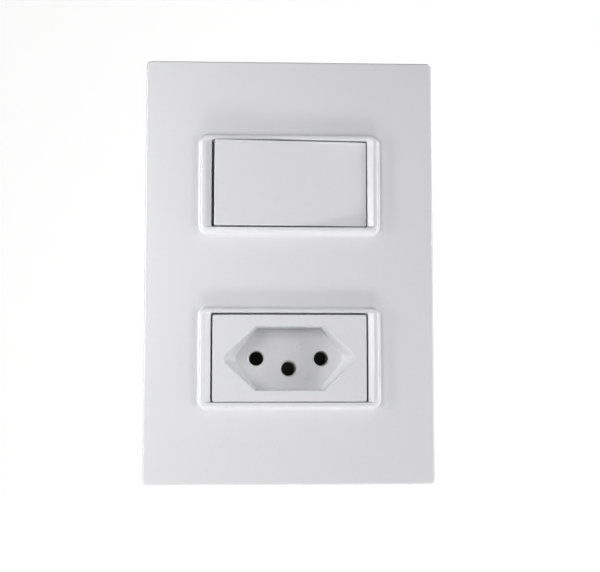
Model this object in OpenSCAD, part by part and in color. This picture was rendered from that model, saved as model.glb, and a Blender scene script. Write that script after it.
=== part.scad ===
// Flush wall plate with a rocker switch module above a three-pin socket module.
// Row frame: +Z up, +X to the right as seen from the room, +Y into the wall.
// The origin is the centre of the plane in which the assembly meets the wall.

/* [Cover plate] */
// Distance from the support frame's side to the plate's side
plate_side = 6.5; // [5:0.5:15]
// Distance from the support frame's end to the plate's end
plate_end = 10.5; // [7:0.5:20]
// Distance from the wall to the front face of the plate
plate_front = 8; // [7.4:0.1:10]
// Thickness of the plate's front skin
plate_skin = 1.8; // [1.2:0.1:2.2]
// Thickness of the plate's side walls
plate_wall = 1.6; // [1:0.1:2.4]
// Corner radius of the plate seen from the front
plate_corner_r = 1.4; // [0.6:0.1:3]
// Bevel round the plate's front edge
plate_bevel = 0.4; // [0.2:0.1:0.8]

/* [Raised rims] */
// Height of each rim above the plate
rim_rise = 2; // [1.6:0.1:2.6]
// Width of a rim's left and right walls
rim_side_w = 3.2; // [2.4:0.1:4.5]
// Width of a rim's top and bottom walls
rim_end_w = 2.1; // [1.5:0.1:3]
// Width of the flat on top of a rim's top and bottom walls
rim_end_land = 0.7; // [0.4:0.1:1.2]
// Rounding of a rim's outer left and right edges
rim_edge = 0.4; // [0.2:0.1:0.8]
// Width of the slope from the land down to the window, left and right
rim_slope_w = 1.2; // [0.6:0.1:1.6]
// Drop of that slope
rim_slope_drop = 0.7; // [0.3:0.1:1.1]
// Corner radius of a rim seen from the front
rim_corner_r = 2; // [1:0.1:3]
// Thickness of the collar that each window carries behind the skin
collar_t = 1.2; // [0.8:0.1:1.5]

/* [Module faces] */
// Distance between the centres of the two modules
module_pitch = 50; // [48:0.5:51]
// Width of the rocker and of the socket face
face_w = 43.8; // [43:0.1:44.6]
// Height of the rocker and of the socket face
face_h = 24.6; // [23.8:0.1:24.6]
// Gap between a face and its window at the left and right ends
end_gap = 0.55; // [0.5:0.05:0.8]
// Gap between a face and its window at the top and bottom
side_gap = 0.35; // [0.3:0.05:0.6]
// How far the socket face lies behind the top of its rim
socket_sink = 0.1; // [0:0.1:0.5]
// How far the socket module hangs below the middle of its window
socket_drop = 0.2; // [0:0.05:0.2]

/* [Support frame] */
// Distance from the snap hooks to the support frame's side
support_side = 6; // [4.5:0.5:8]
// Distance from a box screw to the support frame's end
support_end = 8.75; // [7:0.25:12]
// Thickness of the support frame
support_t = 3; // [2.6:0.1:3.2]
// Corner radius of the support frame
support_corner_r = 3; // [1:0.5:5]
// Height of the support frame's stiffening ribs
support_rib_h = 1.6; // [0.8:0.1:2]
// Thickness of the support frame's stiffening ribs
support_rib_t = 1.4; // [1:0.1:2]
// How far the wall pads stand out of the support frame's back
pad_rise = 0.2; // [0.1:0.1:0.3]
// Side of each square wall pad
pad_size = 9; // [6:0.5:11]
// Clearance between a module's body and its window in the support frame
body_gap = 0.3; // [0.2:0.05:0.4]

/* [Box screws] */
// Distance from a module's flange to the nearer box screw
box_screw_room = 3.6; // [3.5:0.05:5]
// Radius of a box screw's shank
box_screw_r = 1.75; // [1.5:0.05:2]
// Length of a box screw under its head
box_screw_len = 25; // [16:1:40]
// Radius of the plain neck under a box screw's head
box_screw_neck_r = 1.5; // [1.3:0.05:1.6]
// Length of that neck
box_screw_neck_len = 2.5; // [2.4:0.1:4]
// Radius of a box screw's head
box_screw_head_r = 3.1; // [2.9:0.1:3.3]
// Height of a box screw's head
box_screw_head_h = 2; // [1.6:0.1:2.4]
// Depth of the pocket under a box screw's head
screw_pocket = 1; // [0.6:0.1:1.4]
// How far a box screw can shift sideways in its slot
screw_slot_play = 3; // [1:0.5:5]

/* [Snap hooks] */
// Distance from a module's flange to the hooks beside it
hook_room = 5.55; // [5:0.05:7]
// Thickness of a hook's leg
hook_t = 1.6; // [1.2:0.1:2]
// Width of a hook's leg
hook_w = 6; // [4:0.5:8]
// How far a hook's barb stands out
barb = 0.7; // [0.4:0.1:1]
// Thickness of the ledge that the barb grips behind
ledge_t = 1.3; // [1:0.1:1.5]
// Clearance round a hook in its slot
hook_gap = 0.15; // [0.1:0.05:0.3]

/* [Module bodies] */
// How far a module's body is set in from the left and right of its face
body_inset = 1.7; // [1.5:0.1:1.9]
// How far a module's body is set in from the top and bottom of its face
body_end_inset = 1.8; // [1.6:0.1:1.9]
// Wall thickness of the module bodies
body_wall = 1.3; // [1:0.1:1.4]
// Thickness of the flange that seats on the support frame
flange_t = 1.2; // [1:0.1:1.5]
// How far the flange reaches past its window, left and right
flange_lip = 1; // [0.6:0.1:1.4]
// How far the flange reaches past its window, top and bottom
flange_end_lip = 0.5; // [0.3:0.1:0.6]
// How far a body's snap lug stands out
lug_out = 0.9; // [0.6:0.1:1.2]
// Length of a body's snap lug
lug_len = 3.6; // [3:0.1:5]
// Thickness of the two back covers
cover_t = 1.4; // [1:0.1:2]
// Height of the locating ribs inside a back cover
cover_rib_h = 1.2; // [0.8:0.1:1.6]

/* [Rocker] */
// Tilt of the rocker to either side
rocker_tilt = 4.5; // [3.5:0.1:5]
// Depth of the pivot behind the rocker's face
pivot_depth = 4.5; // [4.2:0.1:4.8]
// Thickness of the rocker's face
rocker_skin = 1.8; // [1.4:0.1:2]
// Thickness of the rocker's skirts
skirt_t = 1.2; // [0.9:0.1:1.4]
// Clearance under the pressed end of the rocker
stop_gap = 0.15; // [0.1:0.05:0.3]
// Radius of the rocker's pivot pins
pivot_r = 1.25; // [1:0.05:1.35]
// Radial clearance of the pivot pins
pivot_gap = 0.05; // [0.03:0.01:0.08]
// Radius of the ears that carry the pivot pins
ear_r = 2.2; // [2:0.1:2.4]
// Thickness of the lugs that carry the pins
lug_t = 1.5; // [1.2:0.1:2]
// Clearance between a lug and its ear
lug_gap = 0.3; // [0.2:0.05:0.5]

/* [Plunger and spring] */
// Radius of the plunger
plunger_r = 1.45; // [1.2:0.05:1.6]
// Radial clearance of the plunger in its bore
plunger_gap = 0.05; // [0.03:0.01:0.08]
// Wall of the stem round the plunger
stem_wall = 1.1; // [0.8:0.1:1.4]
// Distance from the pivot to the open end of the stem
stem_reach = 6.5; // [6:0.1:7]
// Distance from the pivot to the tip of the plunger
tip_reach = 9.5; // [9.2:0.1:10]
// Length of the plunger
plunger_len = 6.2; // [5.4:0.1:6.8]
// Clearance round the spring in its bore and at its ends
spring_gap = 0.04; // [0.02:0.01:0.06]
// Radius of the spring's wire
spring_wire_r = 0.2; // [0.15:0.01:0.25]
// Number of turns in the spring
spring_turns = 6; // [4:1:8]

/* [Switch contacts] */
// Clearance between the plunger's tip and the level contact bridge
tip_gap = 0.1; // [0.08:0.01:0.2]
// Tilt of the contact bridge to either side
bridge_tilt = 6; // [5:0.5:7]
// Half the length of the contact bridge
bridge_reach = 8.6; // [8:0.1:9.2]
// How far in from the bridge's end it meets its idle stop
idle_inset = 0.6; // [0.4:0.1:0.8]
// Width of the contact bridge
bridge_w = 4.8; // [4:0.1:5.2]
// Thickness of the contact bridge
bridge_t = 0.8; // [0.6:0.1:1]
// Radius of the trunnions that the bridge rocks on
trunnion_r = 0.6; // [0.5:0.05:0.7]
// Clearance round the trunnions
trunnion_gap = 0.1; // [0.05:0.01:0.15]
// Thickness of the brass strips
strip_t = 0.8; // [0.6:0.1:1]
// Radius of a silver contact's head
contact_r = 1.5; // [1.2:0.1:1.8]
// Height of a silver contact's head
contact_h = 0.8; // [0.6:0.1:1]
// Radius of a silver contact's shank
contact_shank_r = 0.7; // [0.5:0.05:0.9]
// Distance of the contacts from the bridge's fulcrum
contact_x = 6.9; // [6.4:0.1:7]
// Clearance between the closed contacts
contact_gap = 0.12; // [0.08:0.01:0.2]

/* [Terminals] */
// Clearance between an outer terminal block and its body's end wall
block_side_gap = 0.5; // [0.3:0.1:0.7]
// Width of a terminal block
block_w = 6.4; // [6:0.1:6.6]
// Height of a terminal block
block_h = 7; // [6.6:0.1:7.2]
// Depth of a terminal block
block_d = 6.8; // [6:0.1:8]
// Distance of the wire hole below a block's centre
wire_drop = 0.8; // [0.6:0.1:1]
// Radius of the wire holes in the back covers
wire_r = 1.7; // [1.4:0.1:1.8]
// How much wider the hole in a terminal block is
wire_relief = 0.2; // [0.1:0.05:0.3]
// Clearance between the terminal blocks and the back cover
block_gap = 0.2; // [0.1:0.05:0.3]
// Radius of a terminal screw's shank
clamp_screw_r = 1.45; // [1.2:0.05:1.5]
// How far a terminal screw stands clear of its wire hole and under its head
clamp_screw_gap = 0.25; // [0.1:0.05:0.4]
// Radius of a terminal screw's head
clamp_head_r = 2.2; // [2:0.1:2.4]
// Height of a terminal screw's head
clamp_head_h = 1.6; // [1.2:0.1:1.7]
// Clearance round a terminal screw's head in its access hole
clamp_access_gap = 0.4; // [0.2:0.1:0.6]
// Depth of the switch module behind the wall, without its back cover
switch_depth = 14.5; // [14.2:0.1:18]

/* [Socket] */
// Distance from the plug recess's tips to the ends of the face
recess_side = 3.3; // [3.2:0.1:3.6]
// Distance from the recess to the top and bottom of the face
recess_end = 3.1; // [2.9:0.1:3.3]
// Length of the recess's slanted edges, along the face
recess_tip_len = 8.85; // [8:0.05:9.5]
// Depth of the plug recess
recess_depth = 9.5; // [8.5:0.1:10]
// Draft of each recess tip over its whole depth
recess_tip_draft = 3; // [1:0.1:3.5]
// Draft of the level recess walls over their whole depth
recess_wall_draft = 0.4; // [0.2:0.1:0.6]
// Radius of the recess's tips
recess_tip_r = 2.2; // [1.5:0.1:3]
// Wall of the recess's cup
cup_wall = 1.3; // [1:0.1:1.5]
// Thickness of the recess's floor
floor_t = 2.5; // [2:0.1:3]
// Distance between the two outer pins
pin_spacing = 19; // [18.8:0.1:19.2]
// How far the earth pin is below the two outer pins
earth_drop = 3; // [2.8:0.1:3.1]
// Radius of the two outer pin holes
pin_hole_r = 2.15; // [2.1:0.01:2.3]
// Radius of the earth pin's hole
earth_hole_r = 2.25; // [2.2:0.01:2.35]
// Radius of a plug's pin
pin_r = 2; // [1.95:0.01:2.02]
// Length of a plug's pin
pin_len = 19; // [18.5:0.1:19.5]
// Chamfer round each pin hole
hole_chamfer = 0.35; // [0.2:0.05:0.5]
// Radial clearance of a plug's pin in its contact sleeve
sleeve_gap = 0.05; // [0.02:0.01:0.08]
// Wall of a contact sleeve
sleeve_wall = 0.6; // [0.4:0.1:0.7]
// Length of a contact sleeve that its slits leave uncut
sleeve_root = 2.4; // [1.6:0.1:3]
// Width of the slits in a contact sleeve
sleeve_slit = 0.8; // [0.6:0.1:1.2]
// Distance from the floor's back to the outer contact sleeves
sleeve_lead = 2.4; // [2:0.1:3]
// How much nearer the earth sleeve begins
earth_lead = 1.4; // [0.8:0.1:1.6]
// Distance from a pin's tip to the socket's back cover
pin_room = 2.4; // [2:0.1:4]
// Thickness of the ribs between the contact chambers
chamber_rib_t = 1; // [0.8:0.1:1.2]
// Clearance between the earth terminal and the body's top wall
earth_block_room = 2.1; // [2:0.1:2.2]

/* [Hidden] */
$fn = 48;

// Depth by which joined solids run into each other
join = 0.5;
// Overshoot of a cut past the face it opens
over = 1;
// Thickness of the thin slices that hull() spans
slice = 0.01;

// Levels along Y, from the room to the wall
rim_y = -(plate_front + rim_rise);
plate_y = -plate_front;
plate_inner_y = plate_y + plate_skin;
seat_y = -support_t;
support_back_y = -pad_rise;
flange_y = seat_y - flange_t;
collar_y = flange_y - body_gap;

// Module centres and the windows in the plate
switch_z = module_pitch / 2;
socket_z = -module_pitch / 2;
socket_mid_z = socket_z - socket_drop;
window_w = face_w + 2 * end_gap;
window_h = face_h + 2 * side_gap;
flange_w = window_w + 2 * flange_lip;
flange_h = window_h + 2 * flange_end_lip;
body_w = face_w - 2 * body_inset;
body_h = face_h - 2 * body_end_inset;
cavity_w = body_w - 2 * body_wall;
cavity_h = body_h - 2 * body_wall;

// Hooks, box screws, support frame and cover plate, each outside the last
hook_x = flange_w / 2 + hook_room;
box_screw_z = (module_pitch + flange_h) / 2 + box_screw_room;
support_w = 2 * (hook_x + support_side);
support_h = 2 * (box_screw_z + support_end);
plate_w = support_w + 2 * plate_side;
plate_h = support_h + 2 * plate_end;

// Box screws
screw_seat_y = seat_y + screw_pocket;
screw_shank_y = screw_seat_y + box_screw_neck_len;
screw_slot_r = box_screw_r + body_gap;
screw_pocket_r = box_screw_head_r + body_gap;

// Snap hooks
barb_front_y = seat_y + ledge_t + hook_gap;
hook_end_y = support_back_y - hook_gap;

// Rocker
rocker_y = rim_y;
rocker_under_y = rocker_y + rocker_skin;
pivot_y = rocker_y + pivot_depth;
rocker_dip = face_w / 2 * sin(rocker_tilt);
skirt_y = flange_y - stop_gap - rocker_dip;
ear_in_z = cavity_h / 2;
ear_out_z = body_h / 2;
lug_out_z = ear_in_z - lug_gap;
lug_in_z = lug_out_z - lug_t;
pin_end_z = ear_out_z - lug_gap;

// Plunger and spring
stem_bore_r = plunger_r + plunger_gap;
stem_r = stem_bore_r + stem_wall;
stem_end_y = pivot_y + stem_reach;
tip_y = pivot_y + tip_reach;
plunger_back_y = tip_y - plunger_len;
bore_end_y = rocker_under_y - rocker_skin / 2;
spring_coil_r = stem_bore_r - spring_wire_r - spring_gap;
spring_from_y = bore_end_y + spring_wire_r + spring_gap;
spring_to_y = plunger_back_y - spring_wire_r - spring_gap;
ring_sides = 8;
rings_per_turn = 16;
ring_count = spring_turns * rings_per_turn;
spring_rise = (spring_to_y - spring_from_y) / ring_count;
ball_steps = 12;

// Contact bridge
bridge_y = tip_y + tip_gap + bridge_t / 2;
closed_drop = (contact_x + contact_r) * sin(bridge_tilt)
    + (bridge_t / 2 + contact_h) * cos(bridge_tilt);
fixed_top_y = bridge_y + closed_drop + contact_gap;
arm_y = fixed_top_y + contact_h;
idle_x = bridge_reach - idle_inset;
idle_stop_y = bridge_y + bridge_reach * sin(bridge_tilt) + bridge_t / 2 + contact_gap;
strip_y = arm_y + strip_t;
fulcrum_out_z = bridge_w / 2 + 2 * strip_t;

// Terminal blocks
block_x = cavity_w / 2 - block_side_gap - block_w / 2;
switch_back_y = switch_depth;
switch_block_y = switch_back_y - block_gap - block_d;
block_hole_r = wire_r + wire_relief;

// Socket
socket_y = rim_y + socket_sink;
floor_y = socket_y + recess_depth;
floor_back_y = floor_y + floor_t;
pin_tip_y = floor_y + pin_len;
socket_back_y = pin_tip_y + pin_room;
sleeve_r = pin_r + sleeve_gap;
sleeve_out_r = sleeve_r + sleeve_wall;
socket_block_y = socket_back_y - block_gap - block_d;
earth_block_z = (cavity_h - block_h) / 2 - earth_block_room;
recess_w = face_w - 2 * recess_side;
recess_h = face_h - 2 * recess_end;
recess_flat = recess_w - 2 * recess_tip_len;
recess_floor_w = recess_w - 2 * recess_tip_draft;
recess_floor_h = recess_h - 2 * recess_wall_draft;
recess_floor_flat = recess_flat - 2 * recess_wall_draft;
tip_steps = 6;
chamber_rib_x = (pin_spacing / 2 - sleeve_out_r + block_w / 2) / 2;

module rounded_rect(w, h, r) {
    square([w - 2 * r, h], center = true);
    square([w, h - 2 * r], center = true);
    for (sx = [-1, 1], sz = [-1, 1])
        translate([sx * (w / 2 - r), sz * (h / 2 - r)])
            circle(r);
}

// Upright slab with rounded corners between two levels along Y
module slab(w, h, r, from_y, to_y) {
    translate([0, to_y, 0])
        rotate([90, 0, 0])
            linear_extrude(to_y - from_y)
                rounded_rect(w, h, r);
}

// Box given by its lower and upper corners
module block(low, high) {
    translate(low)
        cube(high - low);
}

// Round bar along Y between two levels
module bar_y(r, from_y, to_y) {
    translate([0, to_y, 0])
        rotate([90, 0, 0])
            cylinder(r = r, h = to_y - from_y);
}

// Round bar along Z between two levels
module bar_z(r, from_z, to_z) {
    translate([0, 0, from_z])
        cylinder(r = r, h = to_z - from_z);
}

// Turns children about Z round a pivot at the given level
module tilted(angle, y) {
    translate([0, y, 0])
        rotate([0, 0, angle])
            translate([0, -y, 0])
                children();
}

// Cover plate

module plate_shell() {
    difference() {
        union() {
            slab(plate_w, plate_h, plate_corner_r, plate_y + plate_bevel, 0);
            hull() {
                slab(plate_w, plate_h, plate_corner_r,
                    plate_y + plate_bevel, plate_y + plate_bevel + slice);
                slab(plate_w - 2 * plate_bevel, plate_h - 2 * plate_bevel,
                    plate_corner_r - plate_bevel / 2, plate_y, plate_y + slice);
            }
        }
        slab(plate_w - 2 * plate_wall, plate_h - 2 * plate_wall,
            plate_corner_r / 2, plate_inner_y, over);
    }
}

// Raised rim with steep sides and long slopes above and below
module rim() {
    hull() {
        slab(window_w + 2 * rim_side_w, window_h + 2 * rim_end_w,
            rim_corner_r, plate_y, plate_y + join);
        slab(window_w + 2 * (rim_side_w - rim_edge), window_h + 2 * rim_end_land,
            rim_end_land, rim_y, rim_y + slice);
    }
}

// Cut that slopes from the land down to the window at one end
module rim_slope() {
    translate([0, 0, -window_h / 2])
        linear_extrude(window_h)
            polygon([
                [window_w / 2 - over, rim_y + rim_slope_drop],
                [window_w / 2, rim_y + rim_slope_drop],
                [window_w / 2 + rim_slope_w, rim_y],
                [window_w / 2 + rim_slope_w, rim_y - over],
                [window_w / 2 - over, rim_y - over]
            ]);
}

module plate_hook() {
    translate([0, 0, -hook_w / 2])
        linear_extrude(hook_w)
            polygon([
                [-hook_t / 2, plate_inner_y - join],
                [hook_t / 2, plate_inner_y - join],
                [hook_t / 2, barb_front_y],
                [hook_t / 2 + barb, barb_front_y],
                [hook_t / 2, hook_end_y],
                [-hook_t / 2, hook_end_y]
            ]);
}

module cover_plate() {
    color("white")
        difference() {
            union() {
                plate_shell();
                for (z = [switch_z, socket_z])
                    translate([0, 0, z]) {
                        rim();
                        slab(window_w + 2 * collar_t, window_h + 2 * collar_t,
                            collar_t, plate_inner_y - join, collar_y);
                        translate([hook_x, 0, 0])
                            plate_hook();
                        mirror([1, 0, 0])
                            translate([hook_x, 0, 0])
                                plate_hook();
                    }
            }
            for (z = [switch_z, socket_z])
                translate([0, 0, z]) {
                    slab(window_w, window_h, end_gap, rim_y - over, over);
                    rim_slope();
                    mirror([1, 0, 0])
                        rim_slope();
                }
        }
}

// Support frame and box screws

module hook_slot() {
    slot_in_x = hook_x - hook_t / 2 - hook_gap;
    slot_out_x = hook_x + hook_t / 2 + hook_gap;
    slot_z = hook_w / 2 + hook_gap;
    block([slot_in_x, seat_y - over, -slot_z], [slot_out_x, over, slot_z]);
    block([slot_in_x, seat_y + ledge_t, -slot_z], [slot_out_x + barb, over, slot_z]);
}

module screw_slot() {
    for (x = [-screw_slot_play / 2, screw_slot_play / 2])
        translate([x, 0, 0]) {
            bar_y(screw_slot_r, seat_y - over, over);
            bar_y(screw_pocket_r, seat_y - over, screw_seat_y);
        }
    block([-screw_slot_play / 2, seat_y - over, -screw_slot_r],
        [screw_slot_play / 2, over, screw_slot_r]);
    block([-screw_slot_play / 2, seat_y - over, -screw_pocket_r],
        [screw_slot_play / 2, screw_seat_y, screw_pocket_r]);
}

module support_ribs() {
    rib_y = seat_y - support_rib_h;
    rib_x = support_w / 2 - support_corner_r;
    rib_z = support_h / 2 - support_corner_r;
    for (sx = [-1, 1])
        translate([sx * rib_x, 0, 0])
            block([-support_rib_t / 2, rib_y, -rib_z],
                [support_rib_t / 2, seat_y + join, rib_z]);
    for (sz = [-1, 1])
        translate([0, 0, sz * rib_z])
            block([-rib_x, rib_y, -support_rib_t / 2],
                [rib_x, seat_y + join, support_rib_t / 2]);
    for (sx = [-1, 1])
        translate([sx * pad_size, 0, 0])
            block([-support_rib_t / 2, rib_y, -pad_size],
                [support_rib_t / 2, seat_y + join, pad_size]);
}

module support_frame() {
    pad_x = support_w / 2 - pad_size / 2;
    pad_z = support_h / 2 - pad_size / 2;
    color("lightgray")
        difference() {
            union() {
                slab(support_w, support_h, support_corner_r, seat_y, support_back_y);
                support_ribs();
                slab(pad_size, pad_size, over, support_back_y - join, 0);
                for (sx = [-1, 1], sz = [-1, 1])
                    translate([sx * pad_x, 0, sz * pad_z])
                        slab(pad_size, pad_size, support_corner_r,
                            support_back_y - join, 0);
            }
            for (z = [switch_z, socket_z])
                translate([0, 0, z]) {
                    slab(body_w + 2 * body_gap, body_h + 2 * body_gap, over,
                        seat_y - over, over);
                    hook_slot();
                    mirror([1, 0, 0])
                        hook_slot();
                }
            for (sz = [-1, 1])
                translate([0, 0, sz * box_screw_z])
                    screw_slot();
        }
}

module box_screw(z) {
    head_y = screw_seat_y - box_screw_head_h;
    drive_w = box_screw_r / 2;
    color("silver")
        translate([0, 0, z])
            difference() {
                union() {
                    bar_y(box_screw_head_r, head_y, screw_seat_y);
                    bar_y(box_screw_neck_r, screw_seat_y - join, screw_shank_y + join);
                    bar_y(box_screw_r, screw_shank_y, screw_seat_y + box_screw_len);
                }
                block([-box_screw_head_r - over, head_y - over, -drive_w / 2],
                    [box_screw_head_r + over, head_y + box_screw_head_h / 2, drive_w / 2]);
            }
}

module box_screw_top() {
    box_screw(box_screw_z);
}

module box_screw_bottom() {
    box_screw(-box_screw_z);
}

// Parts that both modules share

// Snap lug on a body's right-hand end, behind the support frame
module body_lug() {
    lug_y = support_back_y + body_gap / 2;
    translate([0, 0, -body_h / 4])
        linear_extrude(body_h / 2)
            polygon([
                [body_w / 2 - join, lug_y],
                [body_w / 2 + lug_out, lug_y],
                [body_w / 2, lug_y + lug_len],
                [body_w / 2 - join, lug_y + lug_len]
            ]);
}

module body_lugs() {
    body_lug();
    mirror([1, 0, 0])
        body_lug();
}

// Cover over a body's open back, with wire holes at the given places
module back_cover(y, places) {
    rib_out_z = cavity_h / 2 - body_gap / 2;
    difference() {
        union() {
            slab(body_w, body_h, body_wall / 2, y, y + cover_t);
            for (sz = [-1, 1])
                translate([0, 0, sz * (rib_out_z - body_wall / 2)])
                    block([-cavity_w / 4, y - cover_rib_h, -body_wall / 2],
                        [cavity_w / 4, y + cover_t / 2, body_wall / 2]);
        }
        for (place = places)
            translate([place[0], 0, place[1]])
                bar_y(wire_r, y - over, y + cover_t + over);
    }
}

// Brass block with a wire hole along Y and a screw hole from above
module terminal_block(y) {
    difference() {
        block([-block_w / 2, y, -block_h / 2], [block_w / 2, y + block_d, block_h / 2]);
        translate([0, 0, -wire_drop])
            bar_y(block_hole_r, y - over, y + block_d + over);
        translate([0, y + block_d / 2, 0])
            bar_z(clamp_screw_r, -wire_drop, block_h / 2 + over);
    }
}

// Terminal screw, backed out clear of the wire hole
module terminal_screw(y) {
    tip_z = block_hole_r - wire_drop + clamp_screw_gap;
    head_z = block_h / 2 + clamp_screw_gap;
    color("silver")
        translate([0, y + block_d / 2, 0])
            difference() {
                union() {
                    bar_z(clamp_screw_r, tip_z, head_z + join);
                    bar_z(clamp_head_r, head_z, head_z + clamp_head_h);
                }
                block([-clamp_head_r - over, -clamp_screw_r / 4, head_z + clamp_head_h / 2],
                    [clamp_head_r + over, clamp_screw_r / 4, head_z + clamp_head_h + over]);
            }
}

// Hole in a body's upper wall through which a terminal screw is reached
module screw_access(x, y) {
    translate([x, y + block_d / 2, 0])
        bar_z(clamp_head_r + clamp_access_gap, cavity_h / 2 - over / 2, body_h / 2 + over);
}

// Switch module

// Ear that carries one of the rocker's pivot pins, in the upper long wall
module pivot_ear() {
    difference() {
        union() {
            translate([0, pivot_y, 0])
                bar_z(ear_r, ear_in_z, ear_out_z);
            block([-ear_r, pivot_y, ear_in_z], [ear_r, seat_y, ear_out_z]);
        }
        translate([0, pivot_y, 0])
            bar_z(pivot_r + pivot_gap, ear_in_z - over, ear_out_z + over);
    }
}

module switch_housing() {
    color("lightgray")
        translate([0, 0, switch_z]) {
            difference() {
                union() {
                    slab(flange_w, flange_h, over, flange_y, seat_y);
                    slab(body_w, body_h, body_wall / 2, seat_y - join, switch_back_y);
                    body_lugs();
                }
                slab(cavity_w, cavity_h, body_wall / 2, flange_y - over, switch_back_y + over);
                for (x = [-block_x, block_x])
                    screw_access(x, switch_block_y);
            }
            pivot_ear();
            mirror([0, 0, 1])
                pivot_ear();
            block([idle_x - body_wall / 2, idle_stop_y, -cavity_h / 2 - join],
                [idle_x + body_wall / 2, idle_stop_y + body_wall, cavity_h / 2 + join]);
        }
}

// Lug under the rocker with the pivot pin on its outer side
module rocker_lug() {
    translate([0, pivot_y, 0]) {
        bar_z(ear_r, lug_in_z, lug_out_z);
        bar_z(pivot_r, lug_out_z - join, pin_end_z);
    }
    block([-ear_r, rocker_under_y - join, lug_in_z], [ear_r, pivot_y, lug_out_z]);
}

module rocker_level() {
    difference() {
        union() {
            difference() {
                slab(face_w, face_h, end_gap, rocker_y, skirt_y);
                slab(face_w - 2 * skirt_t, face_h - 2 * skirt_t, end_gap / 2,
                    rocker_under_y, skirt_y + over);
            }
            bar_y(stem_r, rocker_under_y - join, stem_end_y);
            block([-skirt_t / 2, rocker_under_y - join, -lug_in_z - join],
                [skirt_t / 2, pivot_y, lug_in_z + join]);
            rocker_lug();
            mirror([0, 0, 1])
                rocker_lug();
        }
        bar_y(stem_bore_r, bore_end_y, stem_end_y + over);
    }
}

module switch_rocker() {
    color("white")
        translate([0, 0, switch_z])
            tilted(rocker_tilt, pivot_y)
                rocker_level();
}

module plunger() {
    ball_y = tip_y - plunger_r;
    color("gold")
        translate([0, 0, switch_z])
            tilted(rocker_tilt, pivot_y)
                rotate([-90, 0, 0])
                    rotate_extrude()
                        polygon(concat(
                            [[0, plunger_back_y], [plunger_r, plunger_back_y]],
                            [for (i = [0:ball_steps])
                                [plunger_r * cos(90 * i / ball_steps),
                                    ball_y + plunger_r * sin(90 * i / ball_steps)]]));
}

// Helical spring as one swept tube
function spring_point(i, k) =
    let (turn = 360 * i / rings_per_turn,
        side = 360 * k / ring_sides,
        r = spring_coil_r + spring_wire_r * cos(side))
    [r * cos(turn), spring_from_y + i * spring_rise + spring_wire_r * sin(side),
        r * sin(turn)];

module plunger_spring() {
    points = [for (i = [0:ring_count], k = [0:ring_sides - 1]) spring_point(i, k)];
    walls = [for (i = [0:ring_count - 1], k = [0:ring_sides - 1])
        let (a = i * ring_sides + k, b = i * ring_sides + (k + 1) % ring_sides)
        [a, a + ring_sides, b + ring_sides, b]];
    first_end = [for (k = [0:ring_sides - 1]) k];
    last_end = [for (k = [ring_sides - 1:-1:0]) ring_count * ring_sides + k];
    color("silver")
        translate([0, 0, switch_z])
            tilted(rocker_tilt, pivot_y)
                polyhedron(points, concat([first_end], walls, [last_end]));
}

// Pivot stub on the upper edge of the contact bridge
module trunnion() {
    translate([0, bridge_y, 0])
        bar_z(trunnion_r, bridge_w / 2 - join, fulcrum_out_z);
}

module contact_bridge() {
    color("orange")
        translate([0, 0, switch_z])
            tilted(-bridge_tilt, bridge_y)
                difference() {
                    union() {
                        block([-bridge_reach, bridge_y - bridge_t / 2, -bridge_w / 2],
                            [bridge_reach, bridge_y + bridge_t / 2, bridge_w / 2]);
                        trunnion();
                        mirror([0, 0, 1])
                            trunnion();
                    }
                    translate([-contact_x, 0, 0])
                        bar_y(contact_shank_r, bridge_y - over, bridge_y + over);
                }
}

module moving_contact() {
    under_y = bridge_y + bridge_t / 2;
    color("silver")
        translate([0, 0, switch_z])
            tilted(-bridge_tilt, bridge_y)
                translate([-contact_x, 0, 0]) {
                    bar_y(contact_r, under_y, under_y + contact_h);
                    bar_y(contact_shank_r, bridge_y - bridge_t / 2, under_y + contact_h / 2);
                }
}

module load_terminal() {
    color("goldenrod")
        translate([0, 0, switch_z])
            difference() {
                union() {
                    translate([-block_x, 0, 0])
                        terminal_block(switch_block_y);
                    block([-block_x + block_w / 2 - join / 4, arm_y, -bridge_w / 2],
                        [-contact_x + contact_r, arm_y + strip_t, bridge_w / 2]);
                }
                translate([-contact_x, 0, 0])
                    bar_y(contact_shank_r, arm_y - over, arm_y + strip_t + over);
            }
}

module fixed_contact() {
    color("silver")
        translate([-contact_x, 0, switch_z]) {
            bar_y(contact_r, fixed_top_y, arm_y);
            bar_y(contact_shank_r, arm_y - contact_h / 2, arm_y + strip_t);
        }
}

// Plate with the notch in which one trunnion rocks
module fulcrum_plate() {
    notch_r = trunnion_r + trunnion_gap;
    plate_z = bridge_w / 2 + strip_t / 2;
    difference() {
        block([-2 * notch_r, bridge_y - notch_r, plate_z],
            [2 * notch_r, strip_y + strip_t, plate_z + strip_t]);
        translate([0, bridge_y, 0])
            bar_z(notch_r, plate_z - over, plate_z + strip_t + over);
        block([-notch_r, bridge_y - notch_r - over, plate_z - over],
            [notch_r, bridge_y, plate_z + strip_t + over]);
    }
}

module common_terminal() {
    notch_r = trunnion_r + trunnion_gap;
    color("goldenrod")
        translate([0, 0, switch_z]) {
            translate([block_x, 0, 0])
                terminal_block(switch_block_y);
            block([-2 * notch_r, strip_y, -bridge_w / 2],
                [block_x - block_w / 2 + join / 4, strip_y + strip_t, bridge_w / 2]);
            block([-2 * notch_r, strip_y, -bridge_w / 2 - strip_t],
                [2 * notch_r, strip_y + strip_t, bridge_w / 2 + strip_t]);
            fulcrum_plate();
            mirror([0, 0, 1])
                fulcrum_plate();
        }
}

module common_terminal_screw() {
    translate([block_x, 0, switch_z])
        terminal_screw(switch_block_y);
}

module load_terminal_screw() {
    translate([-block_x, 0, switch_z])
        terminal_screw(switch_block_y);
}

module switch_back_cover() {
    color("gray")
        translate([0, 0, switch_z])
            back_cover(switch_back_y, [[-block_x, -wire_drop], [block_x, -wire_drop]]);
}

// Socket module

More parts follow.
